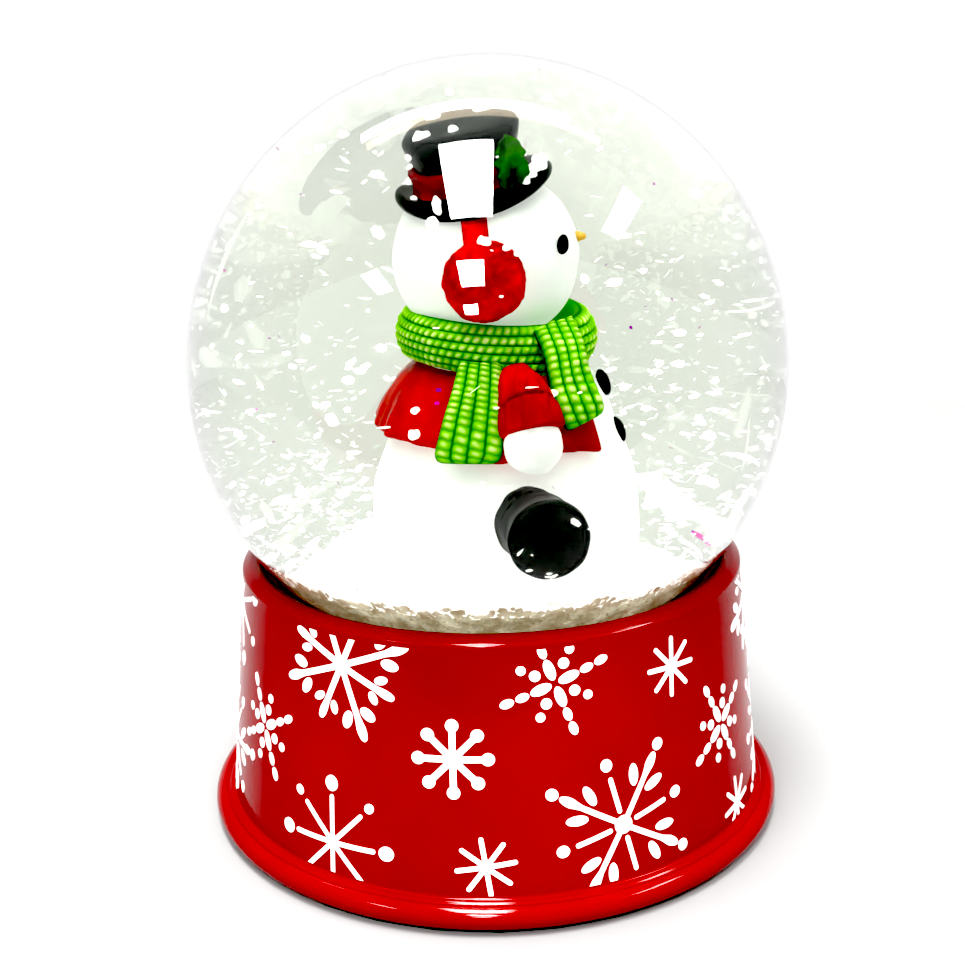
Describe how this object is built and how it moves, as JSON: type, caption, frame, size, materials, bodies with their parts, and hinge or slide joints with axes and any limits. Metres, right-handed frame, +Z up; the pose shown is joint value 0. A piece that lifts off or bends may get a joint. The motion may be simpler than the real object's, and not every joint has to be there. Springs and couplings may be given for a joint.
{
  "type": "snow globe",
  "caption": "Musical snow globe: a liquid-filled glass ball with a painted snowman in falling flakes, on a tapered red base with a winding key and movement inside.",
  "frame": {"origin": "on the ground under the middle of the base", "axes": "+Z up through the middle of the glass ball; the snowman looks towards +X"},
  "size_m": [0.1008, 0.1008, 0.1288],
  "materials": {
    "red_lacquer": "glossy deep red enamel over a cast resin base with white printed snowflakes",
    "clear_glass": "clear polished",
    "clear_liquid": "clear liquid",
    "black_rubber": "matt",
    "snow_white": "grainy white flakes",
    "painted_white": "satin white paint on cast resin",
    "painted_black": "satin black paint on cast resin",
    "painted_red": "glossy red paint on cast resin",
    "painted_green": "satin green paint on cast resin",
    "painted_lime": "satin lime green paint on cast resin, moulded as knitting",
    "painted_orange": "satin orange paint on cast resin",
    "steel": "plain steel",
    "brass": "plain brass",
    "zinc": "die-cast light alloy, dull",
    "black_plastic": "matt moulded",
    "white_nylon": "smooth moulded",
    "dark_felt": "pressed felt"
  },
  "bodies": {
    "globe": {"base_shell": "red_lacquer", "glass_globe": "clear_glass", "liquid_fill": "clear_liquid", "rubber_stopper": "black_rubber", "loose_snow": "snow_white", "snow_mound": "snow_white", "snowman_body": "painted_white", "snowman_head": "painted_white", "mitten_left": "painted_white", "mitten_right": "painted_white", "eye_left": "painted_black", "eye_right": "painted_black", "top_hat": "painted_black", "boot_left": "painted_black", "boot_right": "painted_black", "button_upper": "painted_black", "button_lower": "painted_black", "hatband": "painted_red", "earmuff_left": "painted_red", "earmuff_right": "painted_red", "earmuff_strap_left": "painted_red", "earmuff_strap_right": "painted_red", "red_cape": "painted_red", "sleeve_left": "painted_red", "sleeve_right": "painted_red", "hat_leaf_bow": "painted_green", "scarf_wrap": "painted_lime", "scarf_front_tail": "painted_lime", "scarf_knot_tail": "painted_lime", "carrot_nose": "painted_orange", "cover_screw_1": "steel", "cover_screw_2": "steel", "cover_screw_3": "steel", "movement_screw_1": "steel", "movement_screw_2": "steel", "movement_screw_3": "steel", "housing_screw_1": "steel", "housing_screw_2": "steel", "comb_screw_1": "steel", "comb_screw_2": "steel", "mainspring": "steel", "comb": "steel", "movement_bedplate": "zinc", "spring_housing": "zinc", "drum_bearing_inner": "zinc", "drum_bearing_outer": "zinc", "comb_riser": "zinc", "governor_frame": "zinc", "bottom_cover": "black_plastic", "felt_ring": "dark_felt"},
    "key_shaft": {"winding_key": "brass", "winding_arbor": "steel", "great_wheel": "brass"},
    "music_drum": {"pinned_drum": "brass", "drum_pinion": "brass", "drum_gear": "brass"},
    "idler": {"governor_idler": "white_nylon"},
    "governor": {"governor_worm": "white_nylon", "governor_fan": "white_nylon"}
  },
  "joints": [
    {"name": "key_turn", "type": "hinge", "parent": "globe", "child": "key_shaft", "pos_m": [0, 0, 0.0085], "axis": [0, 0, 1], "range_deg": [0, 1260]},
    {"name": "drum_turn", "type": "hinge", "parent": "globe", "child": "music_drum", "pos_m": [0.0215, 0, 0.0195], "axis": [1, 0, 0], "range_deg": [0, 3360]},
    {"name": "idler_turn", "type": "hinge", "parent": "globe", "child": "idler", "pos_m": [0.0324, -0.0072, 0.0195], "axis": [1, 0, 0], "range_deg": [-10080, 0]},
    {"name": "governor_turn", "type": "hinge", "parent": "globe", "child": "governor", "pos_m": [0.0346, -0.0125, 0.0195], "axis": [0, 0, 1], "range_deg": [-201600, 0]}
  ],
  "couplings": [
    {"joint": "drum_turn", "follows": "key_turn", "ratio": 2.6667},
    {"joint": "idler_turn", "follows": "key_turn", "ratio": -8},
    {"joint": "governor_turn", "follows": "key_turn", "ratio": -160}
  ]
}
